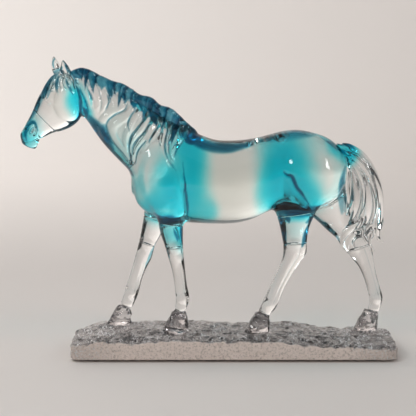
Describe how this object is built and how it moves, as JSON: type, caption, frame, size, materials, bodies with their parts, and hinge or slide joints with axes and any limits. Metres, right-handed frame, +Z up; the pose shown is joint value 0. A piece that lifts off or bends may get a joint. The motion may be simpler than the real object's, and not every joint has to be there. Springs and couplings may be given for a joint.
{
  "type": "glass horse figurine",
  "caption": "Walking horse in solid turquoise and clear crystal glass, fused from hot-worked pieces, on a rough-cast clear glass slab with rubber feet.",
  "frame": {"origin": "on the surface that the rubber feet rest on, under the middle of the figurine's overall box", "axes": "the horse walks towards -X and its right side is +Y, so +X runs from muzzle to tail; +Z up"},
  "size_m": [0.3028, 0.084, 0.241],
  "materials": {
    "aqua_glass": "polished solid crystal, turquoise pockets that fade to clear",
    "clear_glass": "fire-polished clear crystal",
    "teal_glass": "polished crystal, deep teal",
    "smoky_glass": "polished crystal with a smoky grey tint",
    "cast_glass": "rough mould-cast clear glass, rippled top and pitted sides",
    "foot_rubber": "matt black rubber"
  },
  "bodies": {
    "root": {"slab": "cast_glass", "torso": "aqua_glass", "head": "aqua_glass", "muzzle": "teal_glass", "neck": "aqua_glass", "left_fore_hoof": "smoky_glass", "left_fore_upper_leg": "aqua_glass", "left_fore_lower_leg": "clear_glass", "right_fore_hoof": "smoky_glass", "right_fore_upper_leg": "aqua_glass", "right_fore_lower_leg": "clear_glass", "left_hind_hoof": "smoky_glass", "left_hind_upper_leg": "aqua_glass", "left_hind_lower_leg": "clear_glass", "right_hind_hoof": "smoky_glass", "right_hind_upper_leg": "aqua_glass", "right_hind_lower_leg": "clear_glass", "left_ear": "clear_glass", "right_ear": "clear_glass", "mane_crest": "teal_glass", "forelock": "teal_glass", "mane_lock_1": "clear_glass", "mane_lock_2": "clear_glass", "mane_lock_3": "clear_glass", "mane_lock_4": "clear_glass", "mane_lock_5": "clear_glass", "mane_lock_6": "clear_glass", "mane_lock_7": "clear_glass", "mane_lock_8": "clear_glass", "mane_lock_9": "clear_glass", "mane_lock_10": "clear_glass", "tail_dock": "teal_glass", "tail_strand_outer": "clear_glass", "tail_strand_upper": "clear_glass", "tail_strand_middle": "clear_glass", "tail_strand_inner": "clear_glass", "tail_wisp": "clear_glass", "rubber_foot_front_left": "foot_rubber", "rubber_foot_back_left": "foot_rubber", "rubber_foot_front_right": "foot_rubber", "rubber_foot_back_right": "foot_rubber"}
  },
  "joints": []
}
